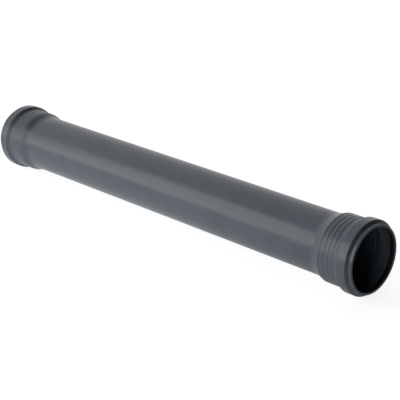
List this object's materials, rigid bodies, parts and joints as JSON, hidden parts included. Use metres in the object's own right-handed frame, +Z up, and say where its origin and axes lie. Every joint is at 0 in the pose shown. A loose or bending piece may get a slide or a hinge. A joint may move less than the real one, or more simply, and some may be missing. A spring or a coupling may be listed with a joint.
{
  "type": "drain pipe with two push-fit sockets",
  "caption": "Straight round drain pipe with a ring-seal push-fit socket at each end, raised beads, softly grooved socket walls and rubber lip seals.",
  "frame": {"origin": "middle of the pipe's axis, halfway between the two mouth planes", "axes": "+X along the pipe's axis, out of socket A, +Z up as the pipe lies on its two beads, and socket B opens towards -X"},
  "size_m": [0.94, 0.1313, 0.1312],
  "materials": {
    "pipe_plastic": "satin anthracite, smooth extruded skin with a very fine grain",
    "seal_rubber": "dull black"
  },
  "bodies": {
    "root": {"pipe_body": "pipe_plastic", "lip_seal_a": "seal_rubber", "lip_seal_b": "seal_rubber"}
  },
  "joints": []
}
